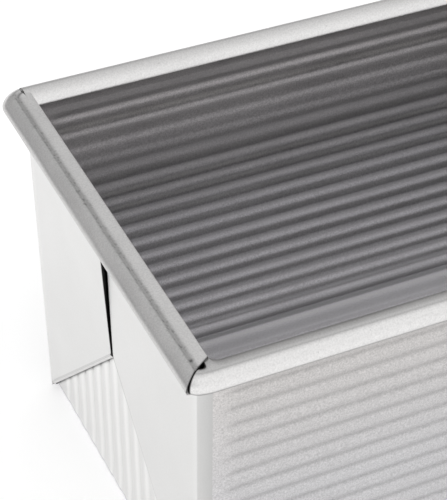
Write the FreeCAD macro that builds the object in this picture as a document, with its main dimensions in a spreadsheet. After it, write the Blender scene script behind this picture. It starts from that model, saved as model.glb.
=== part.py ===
"""Pullman loaf pan.

A folded sheet-steel pan with a rim rolled over a wire, and a ribbed cover that slides along the long rims.
Frame: origin at the middle of the underside, X along the length, Y to the back wall, Z up, millimetres.
"""
import FreeCAD
import Part
import Sketcher
import math
import os

SIZES = (
    ("length_in", 330.2, "inside length at the rim"),
    ("width_in", 101.6, "inside width at the rim"),
    ("height", 95.0, "overall height to the top of the rim"),
    ("sheet", 0.8, "sheet thickness"),
    ("side_run", 2.4, "lean of each long wall over the height"),
    ("end_run", 3.3, "lean of each end wall over the height"),
    ("wire_diameter", 3.9, "rim wire"),
    ("wire_turn", 3.0, "radius of the wire's bends, to the middle of the wire"),
    ("roll_clear", 0.05, "radial clearance between the wire and its roll"),
    ("corner_round", 2.6, "outside radius of the upright corner bends"),
    ("floor_round", 2.5, "outside radius of the bends round the floor"),
    ("tray_rise", 0.5, "straight sheet above the floor bends"),
    ("rib_width", 4.0, "width of a rib"),
    ("rib_height", 0.4, "height of a rib"),
    ("rib_pitch", 5.15, "spacing of the ribs on the long walls"),
    ("floor_pitch", 5.9, "spacing of the ribs on the floor, the ends and the cover"),
    ("rib_margin", 8.0, "smooth sheet left at the ends of the long ribs"),
    ("fold_height", 52.0, "height at which the two folded ears of one end meet"),
    ("ear_gap", 1.0, "slit between the free edges of two ears"),
    ("layer_gap", 0.1, "air between folded layers"),
    ("strip_drop", 0.9, "how far the flat of an end rim lies below the top of its roll"),
    ("rim_split", 0.5, "gap between a long rim and an end rim"),
    ("seam", 0.05, "gap along a fold line between two panels"),
    ("cover_play", 0.4, "clearance between the cover and the rim"),
    ("cover_drawn", 250.0, "how far the cover is drawn back at rest"),
    ("lip_height", 12.0, "depth of the cover's turned-down end"),
)

doc = FreeCAD.newDocument("loaf_pan")
sizes = doc.addObject("Spreadsheet::Sheet", "Sizes")
for row, (alias, value, note) in enumerate(SIZES, start=1):
    sizes.set("A%d" % row, note)
    sizes.set("B%d" % row, str(value))
    sizes.setAlias("B%d" % row, alias)
doc.recompute()


def named(text):
    """An expression over the sheet: every size name gets the sheet's own name in front."""
    for alias, value, note in SIZES:
        text = text.replace("[%s]" % alias, "Sizes.%s" % alias)
    return text


def number(text):
    """The present value of such an expression."""
    value = sizes.evalExpression(named(text))
    return float(getattr(value, "Value", value))


# Derived sizes, written once as expressions over the sheet.
TRAY = "([floor_round] + [tray_rise])"
SIDE_LEAN = "atan([side_run] / [height])"
END_LEAN = "atan([end_run] / [height])"
SIDE_SLOPE = "([side_run] / [height])"
ROLL_IN = "([wire_diameter] / 2 + [roll_clear])"
ROLL_OUT = "([wire_diameter] / 2 + [roll_clear] + [sheet])"
AXIS_Z = "([height] - %s)" % ROLL_OUT
SIDE_FOOT = "([width_in] / 2 - [side_run])"
END_FOOT = "([length_in] / 2 - [end_run])"
EAR_OUT = "(3 * [sheet] + 2 * [layer_gap])"
SIDE_WIRE = "([sheet] + %s)" % ROLL_IN
END_WIRE = "(%s + %s)" % (EAR_OUT, ROLL_IN)
SIDE_TOP = "((%s + %s * sin(%s)) / cos(%s))" % (AXIS_Z, SIDE_WIRE, SIDE_LEAN, SIDE_LEAN)
END_TOP = "((%s + %s * sin(%s)) / cos(%s))" % (AXIS_Z, END_WIRE, END_LEAN, END_LEAN)
WIRE_Y = "(%s + %s * sin(%s) + %s * cos(%s))" % (SIDE_FOOT, SIDE_TOP, SIDE_LEAN, SIDE_WIRE, SIDE_LEAN)
WIRE_X = "(%s + %s * sin(%s) + %s * cos(%s))" % (END_FOOT, END_TOP, END_LEAN, END_WIRE, END_LEAN)
WIRE_TURN = "[wire_turn]"
ROLL_END = 310
CHORDS = 4
CHORD_TURN = 90 / CHORDS
SPLIT_PART = "(1 - [rim_split] / (4 * %s * sin(%s)))" % (WIRE_TURN, CHORD_TURN / 2)
STRIP_TOP = "(%s + %s - [strip_drop])" % (END_TOP, ROLL_OUT)
STRIP_UNDER = "(%s - [sheet])" % STRIP_TOP
RIB_DEEP = "([rib_height] + [seam])"
RIB_RADIUS = "(([rib_width] / 2) ^ 2 + %s ^ 2) / (2 * %s)" % (RIB_DEEP, RIB_DEEP)
GROOVE_HALF = "([rib_width] / 2 - [sheet] / 2)"
GROOVE_DEEP = "([rib_height] + [seam])"
GROOVE_RADIUS = "(%s ^ 2 + %s ^ 2) / (2 * %s)" % (GROOVE_HALF, GROOVE_DEEP, GROOVE_DEEP)
FLOOR_COUNT = "(2 * floor((%s - [floor_round] - [rib_width] / 2) / [floor_pitch]))" % SIDE_FOOT
FLOOR_FIRST = "(-(%s - 1) / 2 * [floor_pitch])" % FLOOR_COUNT
WALL_LOW = "(%s + [rib_width])" % TRAY
WALL_SPAN = "(%s - %s - [rib_width] - %s)" % (SIDE_TOP, ROLL_OUT, WALL_LOW)
WALL_COUNT = "(floor(%s / [rib_pitch]) + 1)" % WALL_SPAN
WALL_FIRST = "(%s + (%s - (%s - 1) * [rib_pitch]) / 2)" % (WALL_LOW, WALL_SPAN, WALL_COUNT)
RIB_RUN = "(2 * (%s - [rib_margin]))" % END_FOOT
COVER_UNDER = "([height] + [cover_play])"
COVER_LEFT = "(-(%s + %s))" % (WIRE_X, ROLL_OUT)
COVER_RIGHT = "(%s + %s + [cover_play])" % (WIRE_X, ROLL_OUT)


def new_body(label):
    """One sub-part."""
    body = doc.addObject("PartDesign::Body", label)
    body.Label = label
    return body


def new_sketch(body, name, plane, offset=None):
    """A sketch on one of the body's own origin planes, moved along the plane's normal by an expression."""
    sketch = body.newObject("Sketcher::SketchObject", name)
    support = [item for item in body.Origin.OriginFeatures if item.Role == plane]
    sketch.AttachmentSupport = [(support[0], "")]
    sketch.MapMode = "FlatFace"
    if offset is not None:
        sketch.setExpression("AttachmentOffset.Base.z", named(offset))
    return sketch


def pin(sketch, item, end, across, up):
    """Place one point of a sketch by two expressions measured from the sketch's origin."""
    for kind, axis, text in (("DistanceX", -2, across), ("DistanceY", -1, up)):
        if abs(number(text)) < 1e-9:
            sketch.addConstraint(Sketcher.Constraint("PointOnObject", item, end, axis))
            continue
        index = sketch.addConstraint(Sketcher.Constraint(kind, -1, 1, item, end, number(text)))
        sketch.setExpression("Constraints[%d]" % index, named(text))


def bind_radius(sketch, item, text):
    """Give an arc or circle its radius."""
    index = sketch.addConstraint(Sketcher.Constraint("Radius", item, number(text)))
    sketch.setExpression("Constraints[%d]" % index, named(text))


def polygon(sketch, points):
    """A closed outline through points given as pairs of expressions."""
    spots = [FreeCAD.Vector(number(across), number(up), 0) for across, up in points]
    count = len(points)
    items = []
    for index in range(count):
        line = Part.LineSegment(spots[index], spots[(index + 1) % count])
        items.append(sketch.addGeometry(line, False))
    for index in range(count):
        following = items[(index + 1) % count]
        sketch.addConstraint(Sketcher.Constraint("Coincident", items[index], 2, following, 1))
    for item, (across, up) in zip(items, points):
        pin(sketch, item, 1, across, up)
    return sketch


def arc(sketch, across, up, radius, start, end):
    """An arc with a pinned centre and a bound radius; start and end are its angles in degrees."""
    middle = FreeCAD.Vector(number(across), number(up), 0)
    circle = Part.Circle(middle, FreeCAD.Vector(0, 0, 1), number(radius))
    shape = Part.ArcOfCircle(circle, math.radians(start), math.radians(end))
    item = sketch.addGeometry(shape, False)
    pin(sketch, item, 3, across, up)
    bind_radius(sketch, item, radius)
    return item


def join(sketch, first, first_end, second, second_end):
    """A straight edge between the ends of two items already drawn."""
    start = sketch.getPoint(first, first_end)
    finish = sketch.getPoint(second, second_end)
    line = sketch.addGeometry(Part.LineSegment(start, finish), False)
    sketch.addConstraint(Sketcher.Constraint("Coincident", line, 1, first, first_end))
    sketch.addConstraint(Sketcher.Constraint("Coincident", line, 2, second, second_end))
    return line


def aim(sketch, item, end, angle, across, up, radius):
    """Hold the end of an arc at an angle given in degrees, by the coordinate that changes more there."""
    if abs(math.sin(math.radians(angle))) > 0.7:
        kind, text = "DistanceX", "%s + %s * cos(%s)" % (across, radius, angle)
    else:
        kind, text = "DistanceY", "%s + %s * sin(%s)" % (up, radius, angle)
    index = sketch.addConstraint(Sketcher.Constraint(kind, -1, 1, item, end, number(text)))
    sketch.setExpression("Constraints[%d]" % index, named(text))


def band(sketch, across, up, inner, outer, start, end):
    """Part of a ring: two arcs about one centre, closed by two straight edges."""
    outside = arc(sketch, across, up, outer, start, end)
    inside = arc(sketch, across, up, inner, start, end)
    for item, radius in ((outside, outer), (inside, inner)):
        aim(sketch, item, 1, start, across, up, radius)
        aim(sketch, item, 2, end, across, up, radius)
    join(sketch, outside, 1, inside, 1)
    join(sketch, outside, 2, inside, 2)
    return sketch


def bow(sketch, chord, middle, half, deep, radius, upward):
    """A rib's section: a chord and the arc over it, which rises along X, or along Y when upward is set."""
    along = number(middle)
    level = number(chord)
    bend = number(radius)
    sweep = math.asin(min(1.0, number(half) / bend))
    reach = level + number(deep) - bend
    if upward:
        centre = FreeCAD.Vector(along, reach, 0)
        angles = (math.pi / 2 - sweep, math.pi / 2 + sweep)
        ends = ((middle + " + " + half, chord), (middle + " - " + half, chord))
    else:
        centre = FreeCAD.Vector(reach, along, 0)
        angles = (-sweep, sweep)
        ends = ((chord, middle + " - " + half), (chord, middle + " + " + half))
    circle = Part.Circle(centre, FreeCAD.Vector(0, 0, 1), bend)
    item = sketch.addGeometry(Part.ArcOfCircle(circle, *angles), False)
    pin(sketch, item, 1, *ends[0])
    pin(sketch, item, 2, *ends[1])
    bind_radius(sketch, item, radius)
    join(sketch, item, 2, item, 1)
    return sketch


def pad(body, name, sketch, length, side="One side", reverse=False):
    """Extrude a sketch."""
    feature = body.newObject("PartDesign::Pad", name)
    feature.Profile = sketch
    feature.SideType = side
    feature.Reversed = reverse
    feature.setExpression("Length", named(length))
    return feature


def pocket(body, name, sketch, length, side="One side", reverse=False):
    """Cut along a sketch, and make sure that the cut met the body."""
    doc.recompute()
    before = body.Shape.Volume
    feature = body.newObject("PartDesign::Pocket", name)
    feature.Profile = sketch
    feature.SideType = side
    feature.Reversed = reverse
    feature.setExpression("Length", named(length))
    doc.recompute()
    if body.Shape.Volume > before - 1e-6:
        raise RuntimeError("%s cuts nothing in %s" % (name, body.Label))
    return feature


def pattern(body, name, feature, sketch, axis, pitch, count):
    """Repeat a feature in a row along an axis of its sketch."""
    row = body.newObject("PartDesign::LinearPattern", name)
    row.Originals = [feature]
    row.Direction = (sketch, [axis])
    row.setExpression("Length", named("%s * (%s - 1)" % (pitch, count)))
    row.setExpression("Occurrences", named(count))
    body.Tip = row
    return row


def ribs(body, plane, face, middle, run, pitch, count, upward=False, offset=None, side="Symmetric"):
    """A row of ribs raised from the panel's upper face at zero, with the matching grooves in its other face.

    face is the panel's upper face in the sketch; the ribs run along the sketch's normal.
    """
    axis = "H_Axis" if upward else "V_Axis"
    raised = new_sketch(body, "RibSection", plane, offset)
    bow(raised, "%s - [seam]" % face, middle, "[rib_width] / 2", RIB_DEEP, RIB_RADIUS, upward)
    first = pad(body, "Rib", raised, run, side)
    pattern(body, "RibRow", first, raised, axis, pitch, count)
    sunk = new_sketch(body, "GrooveSection", plane, offset)
    under = "%s - [sheet] - [seam]" % face
    bow(sunk, under, middle, GROOVE_HALF, GROOVE_DEEP, GROOVE_RADIUS, upward)
    cut = pocket(body, "Groove", sunk, run, side, side != "Symmetric")
    pattern(body, "GrooveRow", cut, sunk, axis, pitch, count)


def turned(placement):
    """The same placement on the opposite side of the pan: half a turn about the upright axis."""
    half = FreeCAD.Placement(FreeCAD.Vector(), FreeCAD.Rotation(FreeCAD.Vector(0, 0, 1), 180))
    return half.multiply(placement)


def side_placement():
    """Front wall: its inner face stands on the foot line and leans out."""
    lean = FreeCAD.Rotation(FreeCAD.Vector(1, 0, 0), number(SIDE_LEAN))
    return FreeCAD.Placement(FreeCAD.Vector(0, -number(SIDE_FOOT), 0), lean)


def end_placement():
    """Left end: its inner face stands on the foot line and leans out."""
    lean = FreeCAD.Rotation(FreeCAD.Vector(0, 1, 0), -number(END_LEAN))
    return FreeCAD.Placement(FreeCAD.Vector(-number(END_FOOT), 0, 0), lean)


def edges_on(shape, wanted):
    """Names of the straight edges whose two ends both satisfy a test."""
    names = []
    for index, edge in enumerate(shape.Edges, start=1):
        ends = [vertex.Point for vertex in edge.Vertexes]
        if len(ends) == 2 and all(wanted(point) for point in ends):
            names.append("Edge%d" % index)
    return names


def dress(body, kind, name, picks, size, text):
    """Fillet edges or shell faces of the body as it stands: picks chooses their names from its shape."""
    doc.recompute()
    base = body.Tip
    names = picks(base.Shape)
    feature = body.newObject("PartDesign::" + kind, name)
    feature.Base = (base, names)
    feature.setExpression(size, named(text))
    return feature


def make_floor():
    """The floor with its edge turned up all round."""
    body = new_body("floor_panel")
    out_x = "(%s + %s * [end_run] / [height] + [sheet])" % (END_FOOT, TRAY)
    out_y = "(%s + %s * %s + [sheet])" % (SIDE_FOOT, TRAY, SIDE_SLOPE)
    outline = new_sketch(body, "Outline", "XY_Plane")
    polygon(outline, [("-" + out_x, "-" + out_y), (out_x, "-" + out_y), (out_x, out_y), ("-" + out_x, out_y)])
    pad(body, "Block", outline, TRAY)
    half_x = number(out_x)
    top = number(TRAY)

    def posts(shape):
        return [name for name in edges_on(shape, lambda point: abs(abs(point.x) - half_x) < 1e-4)
                if abs(shape.getElement(name).tangentAt(0).z) > 0.9]

    def underside(shape):
        return edges_on(shape, lambda point: abs(point.z) < 1e-4)

    def open_top(shape):
        return ["Face%d" % index for index, face in enumerate(shape.Faces, start=1)
                if abs(face.CenterOfMass.z - top) < 1e-4]

    dress(body, "Fillet", "CornerRound", posts, "Radius", "[corner_round]")
    dress(body, "Fillet", "FloorRound", underside, "Radius", "[floor_round]")
    shell = dress(body, "Thickness", "Shell", open_top, "Value", "[sheet]")
    shell.Reversed = True
    run = "(2 * (%s - [floor_round] - [rib_width]))" % END_FOOT
    ribs(body, "YZ_Plane", "[sheet]", FLOOR_FIRST, run, "[floor_pitch]", FLOOR_COUNT, True)
    return body


def make_side(label, placement):
    """A long wall between the floor bend and the rim, cut to the lean of the ends."""
    body = new_body(label)
    slope = "([end_run] / [height])"
    reach = "(%s + %s - [corner_round] - [seam])" % (END_FOOT, EAR_OUT)
    low = "(%s + [seam])" % TRAY
    high = "(%s - [seam] - %s * sin(%s))" % (SIDE_TOP, SIDE_WIRE, SIDE_LEAN)
    low_x = "(%s + %s * %s)" % (reach, low, slope)
    high_x = "(%s + %s * %s)" % (reach, high, slope)
    outline = new_sketch(body, "Outline", "XZ_Plane")
    polygon(outline, [("-" + low_x, low), (low_x, low), (high_x, high), ("-" + high_x, high)])
    pad(body, "Plate", outline, "[sheet]")
    ribs(body, "YZ_Plane", "0 * [sheet]", WALL_FIRST, RIB_RUN, "[rib_pitch]", WALL_COUNT)
    body.Placement = placement
    return body


def make_end(label, placement):
    """An end wall: the tongue of the sheet that stands between the folded corners."""
    body = new_body(label)
    low = "(%s + [seam])" % TRAY
    high = "(%s - [seam])" % END_TOP
    inset = "([corner_round] / 3)"
    low_y = "(%s + %s * %s - %s)" % (SIDE_FOOT, low, SIDE_SLOPE, inset)
    high_y = "(%s + %s * %s - %s)" % (SIDE_FOOT, high, SIDE_SLOPE, inset)
    outline = new_sketch(body, "Outline", "YZ_Plane")
    polygon(outline, [("-" + low_y, low), (low_y, low), (high_y, high), ("-" + high_y, high)])
    pad(body, "Plate", outline, "[sheet]", reverse=True)
    start = "(%s + [sheet])" % low
    run = "(%s - [rib_width] - %s)" % (high, start)
    ribs(body, "XY_Plane", "0 * [sheet]", FLOOR_FIRST, run, "[floor_pitch]", FLOOR_COUNT,
         False, start, "One side")
    body.Placement = placement
    return body


def make_ear(label, side, placement):
    """A corner's surplus sheet, folded double and laid flat on the end: side is -1 for -Y and 1 for +Y."""
    body = new_body(label)
    low = "(%s + [seam])" % TRAY
    high = "(%s - [seam])" % STRIP_UNDER
    bend_top = "(%s - [seam] - %s * sin(%s))" % (END_TOP, WIRE_TURN, END_LEAN)
    foot = "(%s + [sheet] - [corner_round])" % SIDE_FOOT
    low_y = "(%d * (%s + %s * %s))" % (side, foot, low, SIDE_SLOPE)
    high_y = "(%d * (%s + %s * %s))" % (side, foot, high, SIDE_SLOPE)
    free_y = "(%d * [ear_gap] / 2)" % side
    past_y = "(%d * -[ear_gap])" % side
    outline = new_sketch(body, "Outline", "YZ_Plane", "-([sheet] + [layer_gap])")
    polygon(outline, [(low_y, low), (free_y, "[fold_height]"), (free_y, high), (high_y, high)])
    pad(body, "Layers", outline, "2 * [sheet] + [layer_gap]", reverse=True)
    fold = FreeCAD.Vector(number(free_y) - number(low_y), number("[fold_height]") - number(low), 0)
    fold.normalize()

    def on_fold(point):
        gone = FreeCAD.Vector(point.y - number(low_y), point.z - number(low), 0)
        return abs(gone.x * fold.y - gone.y * fold.x) < 1e-4

    def hem(shape):
        return [name for name in edges_on(shape, on_fold) if abs(shape.getElement(name).tangentAt(0).x) < 0.5]

    dress(body, "Fillet", "Hem", hem, "Radius", "0.45 * (2 * [sheet] + [layer_gap])")
    lift = "(1.5 * [sheet])"
    slot = new_sketch(body, "Slot", "YZ_Plane", "-(2 * [sheet] + [layer_gap])")
    wide = "(%s + %d * [corner_round])" % (high_y, side)
    base = "(%s + %d * [corner_round])" % (low_y, side)
    polygon(slot, [(base, low + " + " + lift), (low_y, low + " + " + lift),
                   (past_y, "[fold_height] + " + lift + " + [ear_gap]"), (past_y, high + " + [sheet]"),
                   (wide, high + " + [sheet]")])
    pocket(body, "Between", slot, "[layer_gap]", reverse=False)
    foot_z = "(%s + [corner_round] * %s)" % (low, SIDE_SLOPE)
    corner = new_sketch(body, "Corner", "XY_Plane", foot_z)
    lean = FreeCAD.Rotation(FreeCAD.Vector(1, 0, 0), -side * number(SIDE_LEAN))
    corner.AttachmentOffset = FreeCAD.Placement(FreeCAD.Vector(0, number(low_y), number(foot_z)), lean)
    corner.setExpression("AttachmentOffset.Base.y", named(low_y))
    angles = (180, 270) if side < 0 else (90, 180)
    band(corner, "([corner_round] - %s)" % EAR_OUT, "0 * [sheet]",
         "([corner_round] - [sheet])", "[corner_round]", *angles)
    pad(body, "Bend", corner, "(%s - %s) / cos(%s)" % (bend_top, foot_z, SIDE_LEAN))
    body.Placement = placement
    return body


def polyline(sketch, points, closed=False):
    """A path through points given as pairs of expressions."""
    spots = [FreeCAD.Vector(number(across), number(up), 0) for across, up in points]
    count = len(points)
    items = []
    for index in range(count if closed else count - 1):
        line = Part.LineSegment(spots[index], spots[(index + 1) % count])
        items.append(sketch.addGeometry(line, False))
    for first, second in zip(items, items[1:] + items[:1] if closed else items[1:]):
        sketch.addConstraint(Sketcher.Constraint("Coincident", first, 2, second, 1))
    for index, (across, up) in enumerate(points):
        last = index == len(items)
        pin(sketch, items[-1] if last else items[index], 2 if last else 1, across, up)
    return sketch


def sweep(body, name, section, path):
    """Carry a section along a path of straight runs, with a mitre at every bend."""
    feature = body.newObject("PartDesign::AdditivePipe", name)
    feature.Profile = section
    feature.Spine = path
    feature.Transition = "Right corner"
    return feature


def mirror(body, name, feature, plane):
    """Repeat a feature on the other side of one of the body's own planes."""
    copy = body.newObject("PartDesign::Mirrored", name)
    copy.Originals = [feature]
    support = [item for item in body.Origin.OriginFeatures if item.Role == plane]
    copy.MirrorPlane = (support[0], [""])
    body.Tip = copy
    return copy


def half_bend():
    """Points of a rim's bend up to the split: how far along the rim, and how far out from the bend's centre."""
    angles = [step * CHORD_TURN for step in range(1, CHORDS // 2 + 1)]
    points = [("%s * sin(%s)" % (WIRE_TURN, angle), "%s * cos(%s)" % (WIRE_TURN, angle)) for angle in angles]
    ends = zip(points[-2], points[-1])
    points[-1] = tuple("(%s + %s * (%s - %s))" % (start, SPLIT_PART, end, start) for start, end in ends)
    return points


def make_long_rim(label, placement):
    """A long rim: the wall's top edge rolled outward over the wire, and carried round to the splits."""
    body = new_body(label)
    stop_x = "(%s - %s)" % (WIRE_X, WIRE_TURN)
    stop_y = "(%s - %s)" % (WIRE_Y, WIRE_TURN)
    section = new_sketch(body, "Section", "YZ_Plane")
    band(section, "-" + WIRE_Y, AXIS_Z, ROLL_IN, ROLL_OUT, 0, ROLL_END)
    path = new_sketch(body, "Path", "XY_Plane", AXIS_Z)
    points = [("0 * [sheet]", "-" + WIRE_Y), (stop_x, "-" + WIRE_Y)]
    points += [("%s + %s" % (stop_x, along), "-%s - %s" % (stop_y, out)) for along, out in half_bend()]
    half = sweep(body, "Roll", section, polyline(path, points))
    mirror(body, "OtherHalf", half, "YZ_Plane")
    body.Placement = placement
    return body


def make_end_rim(label, placement):
    """An end rim: a narrow flat over the folded layers, then the same roll, carried round to the splits."""
    body = new_body(label)
    stop_y = "(%s - %s)" % (WIRE_Y, WIRE_TURN)
    drop = "(%s - [strip_drop] - [sheet])" % ROLL_OUT
    reach = "-(%s - sqrt(%s ^ 2 - %s ^ 2))" % (END_WIRE, ROLL_IN, drop)
    flat = new_sketch(body, "FlatSection", "XZ_Plane")
    polygon(flat, [("0 * [sheet]", STRIP_TOP), ("0 * [sheet]", END_TOP), ("-[sheet]", END_TOP),
                   ("-[sheet]", STRIP_UNDER), (reach, STRIP_UNDER), (reach, STRIP_TOP)])
    pad(body, "Flat", flat, "2 * %s" % stop_y, "Symmetric")
    upright = FreeCAD.Rotation(FreeCAD.Vector(0, 0, 1), -number(END_LEAN))
    level = FreeCAD.Rotation(FreeCAD.Vector(0, 1, 0), number(END_LEAN))
    roll = new_sketch(body, "RollSection", "XZ_Plane")
    path = new_sketch(body, "Path", "XY_Plane", END_TOP)
    for sketch, turn, up in ((roll, upright, "y"), (path, level, "z")):
        sketch.AttachmentOffset = FreeCAD.Placement(FreeCAD.Vector(), turn)
        sketch.setExpression("AttachmentOffset.Base.x", named("-" + END_WIRE))
        sketch.setExpression("AttachmentOffset.Base." + up, named(END_TOP))
    roll_start = math.degrees(math.asin(number("%s / %s" % (drop, ROLL_IN))))
    band(roll, "0 * [sheet]", "0 * [sheet]", ROLL_IN, ROLL_OUT, roll_start, ROLL_END)
    points = [("0 * [sheet]", "0 * [sheet]"), ("0 * [sheet]", stop_y)]
    points += [("%s - %s" % (WIRE_TURN, out), "%s + %s" % (stop_y, along)) for along, out in half_bend()]
    half = sweep(body, "Roll", roll, polyline(path, points))
    mirror(body, "OtherHalf", half, "XZ_Plane")
    body.Placement = placement
    return body


def make_wire():
    """The stiffening wire: one closed loop inside all four rims."""
    body = new_body("rim_wire")
    stop_x = "(%s - %s)" % (WIRE_X, WIRE_TURN)
    stop_y = "(%s - %s)" % (WIRE_Y, WIRE_TURN)
    section = new_sketch(body, "Section", "YZ_Plane")
    middle = FreeCAD.Vector(-number(WIRE_Y), number(AXIS_Z), 0)
    circle = Part.Circle(middle, FreeCAD.Vector(0, 0, 1), number("[wire_diameter] / 2"))
    item = section.addGeometry(circle, False)
    pin(section, item, 3, "-" + WIRE_Y, AXIS_Z)
    bind_radius(section, item, "[wire_diameter] / 2")
    points = [("0 * [sheet]", "-" + WIRE_Y)]
    for corner, (side_x, side_y) in enumerate(((1, -1), (1, 1), (-1, 1), (-1, -1))):
        for step in range(CHORDS + 1):
            angle = 90 * (corner - 1) + step * CHORD_TURN
            points.append(("%d * %s + %s * cos(%s)" % (side_x, stop_x, WIRE_TURN, angle),
                           "%d * %s + %s * sin(%s)" % (side_y, stop_y, WIRE_TURN, angle)))
    path = new_sketch(body, "Path", "XY_Plane", AXIS_Z)
    sweep(body, "Loop", section, polyline(path, points, True))
    return body


def cover_placement():
    """The cover at rest, drawn back along the rims."""
    return FreeCAD.Placement(FreeCAD.Vector(number("[cover_drawn]"), 0, 0), FreeCAD.Rotation())


def make_cover_panel():
    """The cover's ribbed flat."""
    body = new_body("cover_panel")
    edge = "(%s - [seam])" % WIRE_Y
    right = "(%s - [sheet] - [seam])" % COVER_RIGHT
    outline = new_sketch(body, "Outline", "XY_Plane", COVER_UNDER)
    polygon(outline, [(COVER_LEFT, "-" + edge), (right, "-" + edge), (right, edge), (COVER_LEFT, edge)])
    pad(body, "Plate", outline, "[sheet]")
    run = "(2 * (%s - [rib_margin]))" % WIRE_X
    face = "(%s + [sheet])" % COVER_UNDER
    ribs(body, "YZ_Plane", face, FLOOR_FIRST, run, "[floor_pitch]", FLOOR_COUNT, True)
    body.Placement = cover_placement()
    return body


def make_channel(label, placement, side=-1):
    """A long edge of the cover, curled under the long rim: side is -1 for the front and 1 for the back."""
    body = new_body(label)
    section = new_sketch(body, "Section", "YZ_Plane", COVER_LEFT)
    inner = "(%s + [cover_play])" % ROLL_OUT
    outer = "(%s + [cover_play] + [sheet])" % ROLL_OUT
    angles = (90, 285) if side < 0 else (-105, 90)
    band(section, "%d * %s" % (side, WIRE_Y), AXIS_Z, inner, outer, *angles)
    pad(body, "Curl", section, "%s - %s" % (COVER_RIGHT, COVER_LEFT))
    body.Placement = placement
    return body


def make_lip():
    """The turned-down end of the cover, which meets the end rim when the cover is home."""
    body = new_body("cover_end_lip")
    section = new_sketch(body, "Section", "XZ_Plane")
    inside = COVER_RIGHT
    outside = "(%s + [sheet])" % COVER_RIGHT
    start = "(%s - [sheet])" % COVER_RIGHT
    top = "(%s + [sheet])" % COVER_UNDER
    foot = "(%s - [lip_height])" % top
    polygon(section, [(start, COVER_UNDER), (inside, COVER_UNDER), (inside, foot),
                      (outside, foot), (outside, top), (start, top)])
    pad(body, "Lip", section, "(2 * (%s - [seam]))" % WIRE_Y, "Symmetric")
    far = number(outside)
    level = number(top)

    def outer_corner(shape):
        return edges_on(shape, lambda point: abs(point.x - far) < 1e-4 and abs(point.z - level) < 1e-4)

    dress(body, "Fillet", "Bend", outer_corner, "Radius", "[sheet]")
    body.Placement = cover_placement()
    return body


def main():
    """Build every sub-part, check it and write its file."""
    front = side_placement()
    left = end_placement()
    rest = cover_placement()
    plain = FreeCAD.Placement()
    bodies = [
        make_floor(),
        make_side("front_wall", front),
        make_side("back_wall", turned(front)),
        make_end("left_end_wall", left),
        make_end("right_end_wall", turned(left)),
        make_ear("front_left_ear", -1, left),
        make_ear("back_left_ear", 1, left),
        make_ear("back_right_ear", -1, turned(left)),
        make_ear("front_right_ear", 1, turned(left)),
        make_long_rim("front_rim", plain),
        make_long_rim("back_rim", turned(plain)),
        make_end_rim("left_rim", left),
        make_end_rim("right_rim", turned(left)),
        make_wire(),
        make_cover_panel(),
        make_channel("cover_front_channel", rest),
        make_channel("cover_back_channel", rest, 1),
        make_lip(),
    ]
    return bodies


bodies = main()
doc.recompute()
os.makedirs("parts", exist_ok=True)
for item in doc.Objects:
    if "Invalid" in item.State or "Error" in item.State:
        raise RuntimeError("%s %s is in state %s" % (item.Name, item.Label, item.State))
for body in bodies:
    shape = body.Shape
    if shape.isNull() or not shape.isValid() or len(shape.Solids) != 1:
        raise RuntimeError("%s is not one valid solid" % body.Label)
    shape.exportStep("parts/%s.step" % body.Label)
    box = shape.BoundBox
    print("%-20s volume %9.1f  x %7.1f %7.1f  y %6.1f %6.1f  z %6.1f %6.1f" % (
        body.Label, shape.Volume, box.XMin, box.XMax, box.YMin, box.YMax, box.ZMin, box.ZMax))
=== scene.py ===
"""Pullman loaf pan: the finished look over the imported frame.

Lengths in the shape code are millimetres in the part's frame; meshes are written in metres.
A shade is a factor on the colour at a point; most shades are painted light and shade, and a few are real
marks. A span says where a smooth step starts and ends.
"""
import bpy
import bmesh
import math
import numpy as np
from mathutils import Matrix, Vector, noise


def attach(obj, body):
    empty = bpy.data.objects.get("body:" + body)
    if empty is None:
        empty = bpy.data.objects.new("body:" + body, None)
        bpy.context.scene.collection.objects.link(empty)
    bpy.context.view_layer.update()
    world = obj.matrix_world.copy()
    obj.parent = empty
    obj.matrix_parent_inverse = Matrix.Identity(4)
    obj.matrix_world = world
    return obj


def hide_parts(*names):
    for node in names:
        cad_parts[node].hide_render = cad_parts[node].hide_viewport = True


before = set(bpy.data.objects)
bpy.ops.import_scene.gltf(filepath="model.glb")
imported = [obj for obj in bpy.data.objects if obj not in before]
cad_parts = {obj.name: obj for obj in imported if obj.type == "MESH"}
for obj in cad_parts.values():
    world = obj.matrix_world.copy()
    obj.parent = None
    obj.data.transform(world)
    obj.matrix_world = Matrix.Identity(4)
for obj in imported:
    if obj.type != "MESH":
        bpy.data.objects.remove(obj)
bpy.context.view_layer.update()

MM = 0.001
NEAR_ZERO = 1e-9

# Sizes of the pan and the cover, the same as in the solids.
LENGTH_IN = 330.2
WIDTH_IN = 101.6
HEIGHT = 95.0
SHEET = 0.8
SIDE_RUN = 2.4
END_RUN = 3.3
ROLL_IN = 2.0
ROLL_END = math.radians(310)
TURN = 3.0
CORNER = 2.6
TRAY_RISE = 0.5
RIB_WIDTH = 4.0
WALL_PITCH = 5.15
FLOOR_PITCH = 5.9
FOLD_HEIGHT = 52.0
EAR_GAP = 1.0
LAYER_GAP = 0.1
STRIP_DROP = 0.9
RIM_SPLIT = 0.5
SEAM = 0.05
COVER_PLAY = 0.4
COVER_DRAWN = 250.0
LIP_HEIGHT = 12.0

# Sizes of the look alone: a tighter floor bend, fuller ribs and the lap of one panel on the next.
FLOOR_ROUND = 1.3
RIB_HEIGHT = 0.55
RIB_POWER = 1.5
RIB_EDGE_SPAN = (-0.2, 1.5)
FOOT_RIB = 0.3
LAP = 0.2

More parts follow.
